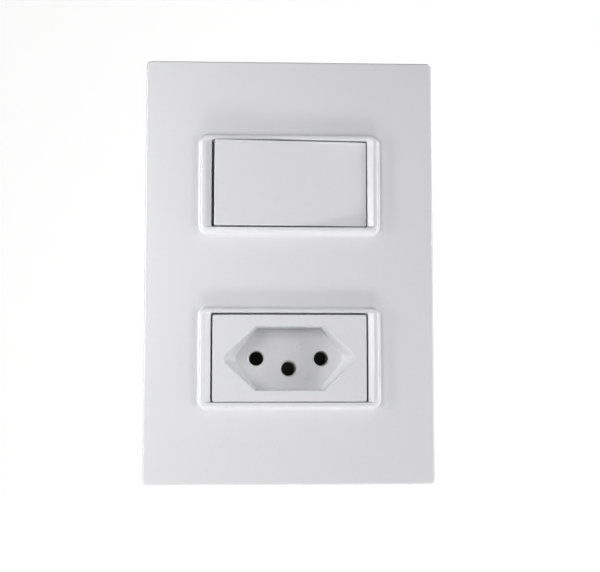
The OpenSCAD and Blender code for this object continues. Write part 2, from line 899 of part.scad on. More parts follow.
// Arc at the recess's +X tip, from the lower slanted edge to the upper one
function tip_arc(w, h, flat, tip_r) =
    let (centre = w / 2 - tip_r,
        corner = [flat / 2 - centre, h / 2],
        sweep = atan2(corner[1], corner[0]) - acos(tip_r / norm(corner)))
    [for (i = [-tip_steps:tip_steps])
        [centre + tip_r * cos(i * sweep / tip_steps), tip_r * sin(i * sweep / tip_steps)]];

module hexagon(w, h, flat, tip_r) {
    tip = tip_arc(w, h, flat, tip_r);
    polygon(concat(tip, [[flat / 2, h / 2], [-flat / 2, h / 2]],
        -tip, [[-flat / 2, -h / 2], [flat / 2, -h / 2]]));
}

// Six-sided solid that narrows from the face to the floor, grown by a wall
module hexagon_plug(wall, from_y, to_y) {
    hull() {
        translate([0, from_y + slice, 0])
            rotate([90, 0, 0])
                linear_extrude(slice)
                    hexagon(recess_w + 2 * wall, recess_h + 2 * wall,
                        recess_flat + wall, recess_tip_r + wall);
        translate([0, to_y, 0])
            rotate([90, 0, 0])
                linear_extrude(slice)
                    hexagon(recess_floor_w + 2 * wall, recess_floor_h + 2 * wall,
                        recess_floor_flat + wall, recess_tip_r + wall);
    }
}

module pin_hole(x, z, r) {
    translate([x, 0, z]) {
        bar_y(r, floor_y - over, floor_back_y + over);
        translate([0, floor_y - slice, 0])
            rotate([-90, 0, 0])
                cylinder(r1 = r + hole_chamfer + slice, r2 = r, h = hole_chamfer + slice);
    }
}

module socket_body() {
    color("white")
        translate([0, 0, socket_mid_z])
            difference() {
                union() {
                    difference() {
                        union() {
                            slab(face_w, face_h, end_gap, socket_y, seat_y);
                            slab(flange_w, flange_h, over, flange_y, seat_y);
                            slab(body_w, body_h, body_wall / 2, seat_y - join, socket_back_y);
                            body_lugs();
                        }
                        slab(cavity_w, cavity_h, body_wall / 2,
                            socket_y + rocker_skin, socket_back_y + over);
                    }
                    intersection() {
                        hexagon_plug(cup_wall, socket_y + slice, floor_back_y);
                        slab(body_w - body_wall, body_h - body_wall, body_wall,
                            socket_y + slice, floor_back_y);
                    }
                    for (sx = [-1, 1])
                        translate([sx * chamber_rib_x, 0, 0])
                            block([-chamber_rib_t / 2, floor_back_y - join, -cavity_h / 2 - join],
                                [chamber_rib_t / 2, socket_block_y, cavity_h / 2 + join]);
                }
                hexagon_plug(0, socket_y - slice, floor_y);
                pin_hole(-pin_spacing / 2, 0, pin_hole_r);
                pin_hole(pin_spacing / 2, 0, pin_hole_r);
                pin_hole(0, -earth_drop, earth_hole_r);
                for (x = [-block_x, 0, block_x])
                    screw_access(x, socket_block_y);
            }
}

// Slit sleeve that grips one pin
module pin_sleeve(from_y) {
    difference() {
        bar_y(sleeve_out_r, from_y, socket_block_y);
        bar_y(sleeve_r, from_y - over, socket_block_y + over);
        block([-sleeve_out_r - over, from_y - over, -sleeve_slit / 2],
            [sleeve_out_r + over, socket_block_y - sleeve_root, sleeve_slit / 2]);
    }
}

// Contact of an outer pin, with its flag running to the terminal at +X
module outer_contact() {
    color("goldenrod")
        difference() {
            union() {
                translate([pin_spacing / 2, 0, 0])
                    pin_sleeve(floor_back_y + sleeve_lead);
                block([pin_spacing / 2 + sleeve_r, socket_block_y - strip_t, -bridge_w / 2],
                    [block_x + block_w / 4, socket_block_y, bridge_w / 2]);
            }
            translate([pin_spacing / 2, 0, 0])
                bar_y(sleeve_r, floor_back_y, socket_block_y + over);
        }
}

module left_contact() {
    translate([0, 0, socket_mid_z])
        mirror([1, 0, 0])
            outer_contact();
}

module right_contact() {
    translate([0, 0, socket_mid_z])
        outer_contact();
}

module earth_contact() {
    color("goldenrod")
        translate([0, 0, socket_mid_z])
            difference() {
                union() {
                    translate([0, 0, -earth_drop])
                        pin_sleeve(floor_back_y + sleeve_lead - earth_lead);
                    block([-bridge_w / 2, socket_block_y - strip_t, -earth_drop + sleeve_r],
                        [bridge_w / 2, socket_block_y, earth_block_z + block_h / 4]);
                }
                translate([0, 0, -earth_drop])
                    bar_y(sleeve_r, floor_back_y, socket_block_y + over);
            }
}

module left_terminal() {
    color("goldenrod")
        translate([-block_x, 0, socket_mid_z])
            terminal_block(socket_block_y);
}

module right_terminal() {
    color("goldenrod")
        translate([block_x, 0, socket_mid_z])
            terminal_block(socket_block_y);
}

module earth_terminal() {
    color("goldenrod")
        translate([0, 0, socket_mid_z + earth_block_z])
            terminal_block(socket_block_y);
}

module left_terminal_screw() {
    translate([-block_x, 0, socket_mid_z])
        terminal_screw(socket_block_y);
}

module right_terminal_screw() {
    translate([block_x, 0, socket_mid_z])
        terminal_screw(socket_block_y);
}

module earth_terminal_screw() {
    translate([0, 0, socket_mid_z + earth_block_z])
        terminal_screw(socket_block_y);
}

module socket_back_cover() {
    color("gray")
        translate([0, 0, socket_mid_z])
            back_cover(socket_back_y, [[-block_x, -wire_drop], [block_x, -wire_drop],
                [0, earth_block_z - wire_drop]]);
}

cover_plate();
support_frame();
box_screw_top();
box_screw_bottom();
switch_housing();
switch_rocker();
plunger();
plunger_spring();
contact_bridge();
moving_contact();
common_terminal();
load_terminal();
fixed_contact();
common_terminal_screw();
load_terminal_screw();
switch_back_cover();
socket_body();
left_contact();
right_contact();
earth_contact();
left_terminal();
right_terminal();
earth_terminal();
left_terminal_screw();
right_terminal_screw();
earth_terminal_screw();
socket_back_cover();
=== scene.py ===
"""Looks of a flush wall plate that carries a rocker switch above a three-pin socket.

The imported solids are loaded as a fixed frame. The cover plate, the marks in the socket's
recess and the box screws are modelled here, the plunger's spring is copied onto a mesh of its
own, and every other solid keeps its shape, takes its finish and has its edges rounded.
All lengths below are in millimetres until mm() turns them to Blender's metres.
"""

import math

import bmesh
import bpy
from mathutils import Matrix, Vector


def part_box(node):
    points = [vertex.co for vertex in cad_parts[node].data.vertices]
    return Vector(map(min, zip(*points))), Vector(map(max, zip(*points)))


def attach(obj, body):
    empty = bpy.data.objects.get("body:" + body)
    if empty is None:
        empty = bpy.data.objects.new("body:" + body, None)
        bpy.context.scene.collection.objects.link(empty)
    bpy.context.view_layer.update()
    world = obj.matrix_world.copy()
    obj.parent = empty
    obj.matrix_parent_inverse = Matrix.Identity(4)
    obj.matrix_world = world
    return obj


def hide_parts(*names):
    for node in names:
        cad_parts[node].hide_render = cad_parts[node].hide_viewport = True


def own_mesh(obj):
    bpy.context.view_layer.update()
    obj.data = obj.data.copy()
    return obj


bl_info = {
    "name": "Switch and Socket Plate",
    "version": (1, 0, 0),
    "blender": (4, 5, 0),
    "location": "View3D > Sidebar > Plate",
    "description": "Models and lights a wall plate with a rocker switch and a socket",
    "category": "Object",
}

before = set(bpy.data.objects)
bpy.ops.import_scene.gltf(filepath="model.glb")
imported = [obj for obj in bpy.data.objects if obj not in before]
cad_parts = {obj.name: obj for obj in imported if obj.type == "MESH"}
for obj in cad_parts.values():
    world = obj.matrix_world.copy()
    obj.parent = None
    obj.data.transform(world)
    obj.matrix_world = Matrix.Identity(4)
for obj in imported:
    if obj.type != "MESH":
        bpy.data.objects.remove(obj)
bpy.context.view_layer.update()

# Middles of the two windows, in mm above the middle of the plate
SWITCH_Z = 25.0
SOCKET_Z = -25.0
# Two lengths count as the same within this many mm
SLACK = 0.003
MM_PER_METRE = 1000


def mm(*lengths):
    """Millimetres to metres, one number or a vector."""
    metres = [length / MM_PER_METRE for length in lengths]
    return metres[0] if len(metres) == 1 else Vector(metres)


def colour(hex_code):
    """An sRGB hex colour as linear red, green, blue and alpha."""
    channels = [int(hex_code[i:i + 2], 16) / 255 for i in (1, 3, 5)]
    linear = [c / 12.92 if c <= 0.04045 else ((c + 0.055) / 1.055) ** 2.4 for c in channels]
    return (*linear, 1.0)


# Sizes and colours that a user would change


class PlateSizes(bpy.types.PropertyGroup):
    """Sizes of the cover plate's front that the eye picks out."""

    corner_radius: bpy.props.FloatProperty(
        name="Plate Corner Radius",
        description="Radius of the plate's corners, seen from the front",
        default=mm(1.4), min=mm(0.6), max=mm(3),
        subtype="DISTANCE", unit="LENGTH", precision=5)
    edge_radius: bpy.props.FloatProperty(
        name="Plate Edge Radius", description="Rounding of the plate's front edge",
        default=mm(0.5), min=mm(0.1), max=mm(1.2),
        subtype="DISTANCE", unit="LENGTH", precision=5)
    wall: bpy.props.FloatProperty(
        name="Plate Wall", description="Thickness of the plate's side walls",
        default=mm(1.6), min=mm(1), max=mm(2.4),
        subtype="DISTANCE", unit="LENGTH", precision=5)
    rim_corner_radius: bpy.props.FloatProperty(
        name="Rim Corner Radius",
        description="Radius of a rim's corners where it meets the plate",
        default=mm(3.5), min=mm(3.3), max=mm(4.5),
        subtype="DISTANCE", unit="LENGTH", precision=5)


class FinishColours(bpy.types.PropertyGroup):
    """Colours of the plastics and the stage."""

    front_plastic: bpy.props.FloatVectorProperty(
        name="Front Plastic",
        description="Colour of the plate, the rocker and the socket face",
        default=colour("#E2E2E4"), size=4, min=0, max=1, subtype="COLOR")
    frame_plastic: bpy.props.FloatVectorProperty(
        name="Frame Plastic", description="Colour of the support frame",
        default=colour("#C9CACB"), size=4, min=0, max=1, subtype="COLOR")
    case_plastic: bpy.props.FloatVectorProperty(
        name="Case Plastic", description="Colour of the switch housing",
        default=colour("#DADAD8"), size=4, min=0, max=1, subtype="COLOR")
    back_plastic: bpy.props.FloatVectorProperty(
        name="Back Plastic", description="Colour of the two back covers",
        default=colour("#8F9294"), size=4, min=0, max=1, subtype="COLOR")


class StageSettings(bpy.types.PropertyGroup):
    """Strengths of the studio lights."""

    key_power: bpy.props.FloatProperty(
        name="Key Light", description="Power of the near soft light in front, on the left",
        default=0.31, min=0, max=50, subtype="POWER", unit="POWER")
    low_power: bpy.props.FloatProperty(
        name="Low Light", description="Power of the light that rakes the plate from below",
        default=1.08, min=0, max=50, subtype="POWER", unit="POWER")
    left_power: bpy.props.FloatProperty(
        name="Left Light", description="Power of the near strip light on the left",
        default=0.42, min=0, max=50, subtype="POWER", unit="POWER")
    right_power: bpy.props.FloatProperty(
        name="Right Light", description="Power of the large far light on the right",
        default=8.8, min=0, max=100, subtype="POWER", unit="POWER")
    rake_power: bpy.props.FloatProperty(
        name="Right Raking Light",
        description="Power of the far light that grazes the plate from the right",
        default=3.4, min=0, max=100, subtype="POWER", unit="POWER")
    back_power: bpy.props.FloatProperty(
        name="Back Fill", description="Power of the soft light behind the plate",
        default=2.5, min=0, max=50, subtype="POWER", unit="POWER")
    card_power: bpy.props.FloatProperty(
        name="Edge Cards", description="Power of each card that only glossy edges reflect",
        default=1.8, min=0, max=50, subtype="POWER", unit="POWER")
    ambient: bpy.props.FloatProperty(
        name="Room Light", description="Strength of the even light from all sides",
        default=0.0, min=0, max=2, subtype="FACTOR")


# Work in edit mode


def select_only(piece):
    """Makes one object the only selected one, and the active one."""
    bpy.ops.object.select_all(action="DESELECT")
    piece.select_set(True)
    bpy.context.view_layer.objects.active = piece


def start_block(name, low, high):
    """A block between two corners, in millimetres, ready for work in edit mode."""
    bpy.ops.object.select_all(action="DESELECT")
    centre = [(a + b) / 2 for a, b in zip(low, high)]
    size = [b - a for a, b in zip(low, high)]
    bpy.ops.mesh.primitive_cube_add(size=1, location=mm(*centre), scale=mm(*size))
    bpy.ops.object.transform_apply(location=True, rotation=True, scale=True)
    block = bpy.context.object
    block.name = block.data.name = name
    bpy.ops.object.mode_set(mode="EDIT")
    return block


def pick(kind, test):
    """Selects the faces, edges or verts in edit mode that pass a test."""
    bpy.ops.mesh.select_mode(type={"faces": "FACE", "edges": "EDGE", "verts": "VERT"}[kind])
    bpy.ops.mesh.select_all(action="DESELECT")
    data = bpy.context.edit_object.data
    mesh = bmesh.from_edit_mesh(data)
    chosen = [item for item in getattr(mesh, kind) if test(item)]
    if not chosen:
        raise RuntimeError(f"nothing to select among the {kind} of {data.name}")
    for item in chosen:
        item.select_set(True)
    mesh.select_flush_mode()
    bmesh.update_edit_mesh(data)


def near(a, b, slack=mm(SLACK)):
    """Whether two lengths in metres are the same, within a slack."""
    return abs(a - b) < slack


def face_at(axis, level, test=None):
    """A test for flat faces across one axis at a level in millimetres."""
    def check(face):
        flat = all(near(v.co[axis], mm(level)) for v in face.verts)
        return flat and (test is None or test(face.calc_center_median()))
    return check


def edge_along(axis, test):
    """A test for edges that run along one axis, at a place that passes a further test."""
    def check(edge):
        run = edge.verts[1].co - edge.verts[0].co
        across = [abs(run[i]) for i in range(3) if i != axis]
        return max(across) < mm(SLACK) < abs(run[axis]) and test(edge.verts[0].co)
    return check


def selected_extent():
    """Lowest and highest corner of what is selected in edit mode."""
    mesh = bmesh.from_edit_mesh(bpy.context.edit_object.data)
    points = [v.co for v in mesh.verts if v.select]
    return ([min(p[i] for p in points) for i in range(3)],
            [max(p[i] for p in points) for i in range(3)])


def middle(low, high):
    """The point midway between two corners."""
    return Vector([(a + b) / 2 for a, b in zip(low, high)])


def fit_selected(width, height, centre_z):
    """Resizes and moves the selected upright face to a width, a height and a centre, in mm."""
    low, high = selected_extent()
    centre = middle(low, high)
    scale = (mm(width) / (high[0] - low[0]), 1, mm(height) / (high[2] - low[2]))
    bpy.ops.transform.resize(value=scale, center_override=centre)
    bpy.ops.transform.translate(value=(-centre.x, 0, mm(centre_z) - centre.z))


def push(x, y, z):
    """Extrudes the selected region by a step in millimetres."""
    bpy.ops.mesh.extrude_region_move(TRANSFORM_OT_translate={"value": mm(x, y, z)})


def step_ring(window, ring, last):
    """One more ring of a rim's profile: from the last side, end and level to the next."""
    side, end, level = ring
    outward = last[2] - level
    bpy.ops.mesh.inset(thickness=mm(last[1] - end), depth=mm(outward), use_even_offset=True)
    low, high = selected_extent()
    centre = middle(low, high)
    scale = (mm(window[0] + 2 * side) / (high[0] - low[0]), 1, 1)
    bpy.ops.transform.resize(value=scale, center_override=centre)


def finish_piece(piece, body, material, angle=30):
    """Ends work in edit mode, smooths the piece by angle and hangs it on its body."""
    if bpy.context.mode == "EDIT_MESH":
        bpy.ops.mesh.select_all(action="SELECT")
        bpy.ops.mesh.remove_doubles(threshold=mm(0.001))
        bpy.ops.mesh.normals_make_consistent(inside=False)
        bpy.ops.object.mode_set(mode="OBJECT")
    select_only(piece)
    bpy.ops.object.shade_smooth_by_angle(angle=math.radians(angle))
    piece.data.materials.clear()
    piece.data.materials.append(bpy.data.materials[material])
    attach(piece, body)


def apply_modifier(piece, kind, name, **settings):
    """Adds a modifier, sets it and applies it."""
    select_only(piece)
    modifier = piece.modifiers.new(name, kind)
    for key, value in settings.items():
        setattr(modifier, key, value)
    bpy.ops.object.modifier_apply(modifier=modifier.name)


# Materials


def add_node(tree, kind, settings=None, **inputs):
    """Adds a node with its settings, and sets or links each input by name."""
    node = tree.nodes.new(kind)
    for key, value in (settings or {}).items():
        setattr(node, key, value)
    for key, value in inputs.items():
        socket = node.inputs[key.replace("_", " ")]
        if isinstance(value, bpy.types.NodeSocket):
            tree.links.new(value, socket)
        else:
            socket.default_value = value
    return node


def new_material(name):
    """An empty node material with its shader and output, and the object's coordinates."""
    material = bpy.data.materials.new(name)
    material.use_nodes = True
    tree = material.node_tree
    tree.nodes.clear()
    shader = add_node(tree, "ShaderNodeBsdfPrincipled")
    add_node(tree, "ShaderNodeOutputMaterial", Surface=shader.outputs["BSDF"])
    place = add_node(tree, "ShaderNodeTexCoord").outputs["Object"]
    return tree, shader, place


def link(tree, output, node, name):
    """Links an output to a node's input."""
    tree.links.new(output, node.inputs[name])


def tone(tree, factor, low, high):
    """A noise factor, which mostly lies from 0.3 to 0.7, spread between two values."""
    return add_node(tree, "ShaderNodeMapRange", None, Value=factor, From_Min=0.3,
                    From_Max=0.7, To_Min=low, To_Max=high).outputs["Result"]


def shade_between(tree, factor, first, second):
    """A colour between two, by a factor."""
    mix = add_node(tree, "ShaderNodeMix", {"data_type": "RGBA"})
    link(tree, factor, mix, "Factor")
    mix.inputs[6].default_value = first
    mix.inputs[7].default_value = second
    return mix.outputs[2]


def darker(base, share):
    """A linear colour brought down by a share."""
    return (*[channel * (1 - share) for channel in base[:3]], 1.0)


# Moulded plastic: size and depth of its speckle, and the depth of a mould's grain
PLASTIC_IOR = 1.5
SPECKLE_MM = 0.35
SPECKLE_DARKER = 0.008
GRAIN_DEPTH_MM = 0.03


def moulded_plastic(name, base, roughness, ripple_mm, ripple_height_mm, grain_mm=0.0):
    """Injection-moulded plastic: an even colour, a soft sheen and a faint uneven surface."""
    tree, shader, place = new_material(name)
    shader.inputs["IOR"].default_value = PLASTIC_IOR
    speckle = add_node(tree, "ShaderNodeTexNoise", None, Vector=place,
                       Scale=1 / mm(SPECKLE_MM), Detail=1.0).outputs["Fac"]
    link(tree, shade_between(tree, speckle, base, darker(base, SPECKLE_DARKER)),
         shader, "Base Color")
    link(tree, tone(tree, speckle, roughness * 0.97, roughness * 1.03), shader, "Roughness")
    ripple = add_node(tree, "ShaderNodeTexNoise", None, Vector=place,
                      Scale=1 / mm(ripple_mm), Detail=2.0).outputs["Fac"]
    bump = add_node(tree, "ShaderNodeBump", None, Height=ripple, Strength=0.5,
                    Distance=mm(ripple_height_mm))
    if grain_mm:
        grain = add_node(tree, "ShaderNodeTexNoise", None, Vector=place,
                         Scale=1 / mm(grain_mm), Detail=1.0).outputs["Fac"]
        bump = add_node(tree, "ShaderNodeBump", None, Height=grain, Strength=0.6,
                        Distance=mm(GRAIN_DEPTH_MM), Normal=bump.outputs["Normal"])
    link(tree, bump.outputs["Normal"], shader, "Normal")


# Worked metal: size of its tarnish, how far streaks are drawn out along X, their depth
TARNISH_MM = 3.5
STREAK_STRETCH = (0.12, 1.0, 1.0)
STREAK_DEPTH_MM = 0.01


def worked_metal(name, base, roughness, streak_mm, tarnish):
    """Stamped or turned metal with fine drawn streaks and a little uneven tarnish."""
    tree, shader, place = new_material(name)
    shader.inputs["Metallic"].default_value = 1.0
    cloud = add_node(tree, "ShaderNodeTexNoise", None, Vector=place,
                     Scale=1 / mm(TARNISH_MM), Detail=3.0).outputs["Fac"]
    link(tree, shade_between(tree, cloud, base, darker(base, tarnish)), shader, "Base Color")
    stretched = add_node(tree, "ShaderNodeMapping", None, Vector=place,
                         Scale=STREAK_STRETCH).outputs["Vector"]
    streaks = add_node(tree, "ShaderNodeTexNoise", None, Vector=stretched,
                       Scale=1 / mm(streak_mm), Detail=2.0).outputs["Fac"]
    link(tree, tone(tree, streaks, roughness * 0.75, roughness * 1.3), shader, "Roughness")
    bump = add_node(tree, "ShaderNodeBump", None, Height=streaks, Strength=0.3,
                    Distance=mm(STREAK_DEPTH_MM))
    link(tree, bump.outputs["Normal"], shader, "Normal")


def make_materials(colours):
    """Every finish on the object."""
    # Gloss ABS from a polished mould: long soft reflections and an almost flat surface
    moulded_plastic("gloss_white_abs", colours.front_plastic, 0.28, 6.0, 0.004)
    # Nylon of the support frame: matt, with the fine grain of a spark-eroded mould
    moulded_plastic("matt_grey_nylon", colours.frame_plastic, 0.5, 2.5, 0.01, 0.3)
    # Polycarbonate of the switch housing: a satin sheen, a little warmer than the front
    moulded_plastic("satin_polycarbonate", colours.case_plastic, 0.38, 3.0, 0.008, 0.25)
    # Glass-filled nylon of the back covers: dull and slightly rough
    moulded_plastic("filled_grey_nylon", colours.back_plastic, 0.55, 2.0, 0.012, 0.35)
    # Rolled brass strip and sawn brass blocks: warm yellow with fine streaks
    worked_metal("rolled_brass", colour("#C8A254"), 0.3, 0.25, 0.2)
    # Nickelled brass of the pin sleeves: a soft grey shine deep in the holes
    worked_metal("nickelled_brass", colour("#B4B2AC"), 0.34, 0.25, 0.15)
    # Copper rocker strip, a little browned
    worked_metal("rolled_copper", colour("#C07A50"), 0.32, 0.25, 0.25)
    # Silver alloy contact rivets, nearly clean
    worked_metal("silver_alloy", colour("#E3E1DC"), 0.25, 0.2, 0.1)
    # Zinc-plated screws, bluish and bright
    worked_metal("zinc_plated_steel", colour("#B9BDC2"), 0.28, 0.15, 0.15)
    # Drawn spring wire: mid grey with a tight shine
    worked_metal("spring_wire", colour("#9EA1A5"), 0.3, 0.1, 0.1)


# Pieces

# Rings of a rim from the plate to the window: distance outside the window at the sides and
# at the top and bottom, and the level along Y
RIM_FOOT = (3.9, 3.0, -8.0)
RIM_RINGS = [
    (3.72, 2.6, -8.02),
    (3.52, 2.2, -8.09),
    (3.38, 1.9, -8.22),
    (3.3, 1.7, -8.4),
    (3.26, 1.58, -8.62),
    (3.2, 1.42, -9.3),
    (3.12, 1.36, -9.55),
    (2.98, 1.26, -9.78),
    (2.78, 1.12, -9.93),
    (2.55, 0.94, -10.0),
    (1.8, 0.22, -10.0),
    (1.6, 0.16, -9.96),
    (1.44, 0.12, -9.88),
    (0.12, 0.03, -9.42),
    (0.0, 0.0, -9.28),
]
# Window's width and height, the collar behind it, and the plate's front and inner faces
WINDOW = (44.9, 25.3)
COLLAR_WALL = 1.2
COLLAR_BACK = -4.5
PLATE_FRONT = -8.0
PLATE_INNER = -6.2
CORNER_STEPS = 8
RIM_LIFT = 0.02


def round_corners(foot, centre_z, wall_test, radius):
    """Rounds the four short upright edges of a fresh block on the plate."""
    half_w, half_h = mm(foot[0] / 2), mm(foot[1] / 2)

    def at_corner(co):
        return (near(abs(co.x), half_w) and near(abs(co.z - mm(centre_z)), half_h)
                and wall_test(co))

    pick("edges", edge_along(1, at_corner))
    bpy.ops.mesh.bevel(offset=radius, offset_type="OFFSET", segments=CORNER_STEPS,
                       profile=0.5, affect="EDGES", clamp_overlap=False)


def raise_rim(centre_z, radius):
    """Raises one rim round its window out of the plate's front, ring by ring."""
    upper = centre_z > 0
    pick("faces", face_at(1, PLATE_FRONT, lambda c: (c.z > 0) == upper))
    bpy.ops.mesh.inset(thickness=mm(1))
    foot = (WINDOW[0] + 2 * RIM_FOOT[0], WINDOW[1] + 2 * RIM_FOOT[1])
    fit_selected(*foot, centre_z)
    push(0, -RIM_LIFT, 0)
    round_corners(foot, centre_z, lambda co: co.y < mm(PLATE_INNER), radius)
    top = PLATE_FRONT - RIM_LIFT
    pick("faces", face_at(1, top, lambda c: near(c.z, mm(centre_z), mm(1))))
    last = (RIM_FOOT[0], RIM_FOOT[1], top)
    for ring in RIM_RINGS:
        step_ring(WINDOW, ring, last)
        last = ring


def raise_collar(centre_z, radius):
    """Raises the collar behind one window out of the plate's inner face."""
    upper = centre_z > 0
    pick("faces", face_at(1, PLATE_INNER, lambda c: (c.z > 0) == upper))
    bpy.ops.mesh.inset(thickness=mm(1))
    foot = (WINDOW[0] + 2 * COLLAR_WALL, WINDOW[1] + 2 * COLLAR_WALL)
    fit_selected(*foot, centre_z)
    push(0, COLLAR_BACK - PLATE_INNER, 0)
    round_corners(foot, centre_z, lambda co: co.y > mm(PLATE_INNER - 0.1), radius)
    pick("faces", face_at(1, COLLAR_BACK, lambda c: near(c.z, mm(centre_z), mm(1))))
    bpy.ops.mesh.inset(thickness=mm(COLLAR_WALL), use_even_offset=True)


# Snap hooks behind the plate: their distance from the middle, leg and barb
HOOK_X = 29.0
HOOK_LEG = 1.6
HOOK_WIDTH = 6.0
HOOK_ROOT = -6.3
BARB_FRONT = -1.55
HOOK_END = -0.35
BARB_OUT = 0.7
HOOK_ROUNDING = 0.15


def model_hook():
    """One snap hook: a leg with a barb that slopes to its tip, at the upper right."""
    inner, outer = HOOK_X - HOOK_LEG / 2, HOOK_X + HOOK_LEG / 2
    hook = start_block("plate_hook", (inner, HOOK_ROOT, SWITCH_Z - HOOK_WIDTH / 2),
                       (outer, HOOK_END, SWITCH_Z + HOOK_WIDTH / 2))
    bpy.ops.mesh.select_all(action="SELECT")
    bpy.ops.mesh.bisect(plane_co=(0, mm(BARB_FRONT), 0), plane_no=(0, 1, 0))
    pick("faces", face_at(0, outer, lambda c: c.y > mm(BARB_FRONT)))
    push(BARB_OUT, 0, 0)
    pick("verts", lambda v: near(v.co.x, mm(outer + BARB_OUT)) and near(v.co.y, mm(HOOK_END)))
    bpy.ops.transform.translate(value=mm(HOOK_ROUNDING - BARB_OUT, 0, 0))
    pick("edges", lambda e: e.calc_face_angle(0) > math.radians(30)
         and all(v.co.y > mm(HOOK_ROOT + 1) for v in e.verts))
    bpy.ops.mesh.bevel(offset=mm(HOOK_ROUNDING), segments=2, profile=0.5, affect="EDGES")
    bpy.ops.object.mode_set(mode="OBJECT")
    return hook


def copy_piece(piece, mirror_x=False, shift_z=0.0):
    """A copy with its own mesh, mirrored left to right or moved along Z in that mesh."""
    select_only(piece)
    bpy.ops.object.duplicate(linked=False)
    bpy.ops.object.mode_set(mode="EDIT")
    bpy.ops.mesh.select_all(action="SELECT")
    if mirror_x:
        bpy.ops.transform.resize(value=(-1, 1, 1), center_override=(0, 0, 0))
        bpy.ops.mesh.normals_make_consistent(inside=False)
    bpy.ops.transform.translate(value=(0, 0, mm(shift_z)))
    bpy.ops.object.mode_set(mode="OBJECT")
    return bpy.context.object


def join_pieces(target, others):
    """Joins further pieces into the first one's mesh."""
    bpy.ops.object.select_all(action="DESELECT")
    for piece in (*others, target):
        piece.select_set(True)
    bpy.context.view_layer.objects.active = target
    bpy.ops.object.join()


class PLATE_OT_cover_plate(bpy.types.Operator):
    """Models the cover plate: thin skin, rounded edges, two raised rims and their collars"""

    bl_idname = "plate.cover_plate"
    bl_label = "Cover Plate"

    def execute(self, context):
        sizes = context.scene.plate_sizes
        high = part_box("cover_plate")[1]
        half_w, half_h = high[0] * MM_PER_METRE, high[2] * MM_PER_METRE
        plate = start_block("cover_plate_moulding",
                            (-half_w, PLATE_FRONT, -half_h), (half_w, 0, half_h))
        pick("faces", face_at(1, 0))
        bpy.ops.mesh.inset(thickness=sizes.wall)
        push(0, PLATE_INNER, 0)
        for level in (PLATE_FRONT, PLATE_INNER):
            pick("faces", face_at(1, level))
            bpy.ops.mesh.bisect(plane_co=(0, 0, 0), plane_no=(0, 0, 1))
        for centre_z in (SWITCH_Z, SOCKET_Z):
            raise_rim(centre_z, sizes.rim_corner_radius)
            raise_collar(centre_z, sizes.rim_corner_radius - mm(RIM_FOOT[1] - COLLAR_WALL))
            pick("faces", lambda f: near(f.calc_center_median().z, mm(centre_z), mm(1))
                 and len(f.verts) == 4 * (CORNER_STEPS + 1)
                 and (face_at(1, RIM_RINGS[-1][2])(f) or face_at(1, COLLAR_BACK)(f)))
            bpy.ops.mesh.bridge_edge_loops()

        def at_plate_corner(co):
            return near(abs(co.x), mm(half_w)) and near(abs(co.z), mm(half_h))

        pick("edges", edge_along(1, at_plate_corner))
        bpy.ops.mesh.bevel(offset=sizes.corner_radius, segments=CORNER_STEPS, profile=0.5,
                           affect="EDGES", clamp_overlap=False)
        reach = mm(half_w) - sizes.corner_radius, mm(half_h) - sizes.corner_radius

        def on_front_edge(edge):
            return all(near(v.co.y, mm(PLATE_FRONT)) and
                       (abs(v.co.x) > reach[0] - mm(SLACK)
                        or abs(v.co.z) > reach[1] - mm(SLACK))
                       for v in edge.verts) and len(edge.link_faces) == 2 and \
                abs(edge.link_faces[0].normal.dot(edge.link_faces[1].normal)) < 0.9

        pick("edges", on_front_edge)
        bpy.ops.mesh.bevel(offset=sizes.edge_radius, segments=4, profile=0.5,
                           affect="EDGES", clamp_overlap=False)
        finish_piece(plate, "fixed", "gloss_white_abs")
        hooks = [model_hook()]
        hooks.append(copy_piece(hooks[0], mirror_x=True))
        hooks += [copy_piece(hook, shift_z=SOCKET_Z - SWITCH_Z) for hook in hooks]
        for hook in hooks:
            hook.data.materials.append(bpy.data.materials["gloss_white_abs"])
        join_pieces(plate, hooks)
        apply_modifier(plate, "WEIGHTED_NORMAL", "flat faces stay flat",
                       mode="FACE_AREA", weight=100, keep_sharp=True)
        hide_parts("cover_plate")
        return {"FINISHED"}


# Raised marks on the floor of the socket's recess. Numerals are text and X, the earth sign's
# bars are drop and width
FLOOR_Y = -0.4
MARK_RISE = 0.32
MARK_ROOT = 0.06
NUMERAL_SIZE = 2.8
NUMERAL_WEIGHT = 0.05
NUMERALS = (("1", -4.0), ("2", 4.0))
NUMERAL_RISE = 3.6
EARTH_MARK = (5.6, -5.6)
EARTH_BARS = ((0.0, 2.4), (-0.55, 1.5), (-1.1, 0.6))
EARTH_STEM = 1.0
MARK_LINE = 0.3


def raise_mark(mark, name):
    """Names a finished mark and hangs it on the socket's body."""
    mark.name = mark.data.name = name
    finish_piece(mark, "fixed", "gloss_white_abs", angle=40)


def add_numeral(body, x, z):
    """A plain raised numeral, stood upright on the recess floor."""
    bpy.ops.object.select_all(action="DESELECT")
    bpy.ops.object.text_add(location=(0, 0, 0))
    text = bpy.context.object
    text.data.body = body
    text.data.align_x, text.data.align_y = "CENTER", "CENTER"
    text.data.size = mm(NUMERAL_SIZE)
    text.data.extrude = mm((MARK_RISE + MARK_ROOT) / 2 - NUMERAL_WEIGHT)
    text.data.offset = mm(NUMERAL_WEIGHT)
    text.data.bevel_depth = mm(NUMERAL_WEIGHT)
    text.data.resolution_u = 3
    bpy.ops.object.convert(target="MESH")
    numeral = bpy.context.object
    numeral.rotation_euler = (math.radians(90), 0, 0)
    numeral.location = mm(x, FLOOR_Y + (MARK_ROOT - MARK_RISE) / 2, z)
    bpy.ops.object.transform_apply(location=True, rotation=True, scale=True)
    return numeral


